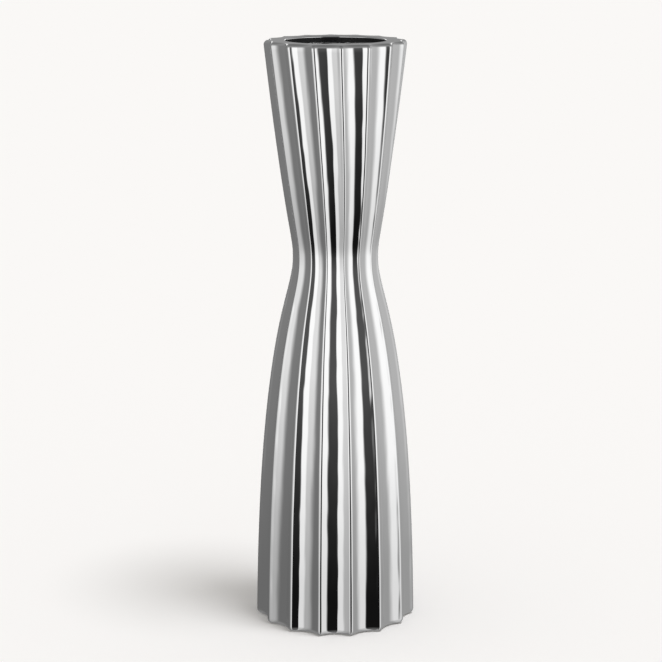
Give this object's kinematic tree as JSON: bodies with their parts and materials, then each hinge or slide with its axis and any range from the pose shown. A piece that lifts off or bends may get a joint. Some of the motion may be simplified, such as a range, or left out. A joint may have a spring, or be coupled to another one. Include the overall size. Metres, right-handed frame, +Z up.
{
  "type": "fluted candlestick",
  "caption": "Tall fluted column candle holder with a narrow waist, a shallow round recess in the rim for a pillar candle and a weighted foot.",
  "frame": {"origin": "on the table, at the centre of the foot", "axes": "+Z up along the column; a flute faces -Y, the front; +X to the right of it"},
  "size_m": [0.11, 0.11, 0.4],
  "materials": {
    "silver_plate": "cast aluminium under bright mirror-polished silver-coloured plating outside, over a black base coat that stays bare inside",
    "zinc_steel": "zinc-plated steel",
    "grey_iron": "turned cast iron, dark and matt",
    "felt": "black pressed wool felt"
  },
  "bodies": {
    "root": {"fluted_body": "silver_plate", "candle_plate": "silver_plate", "tie_rod": "zinc_steel", "iron_weight": "grey_iron", "flat_washer": "zinc_steel", "lock_washer": "zinc_steel", "hex_nut": "zinc_steel", "base_disc": "zinc_steel", "felt_disc": "felt"}
  },
  "joints": []
}
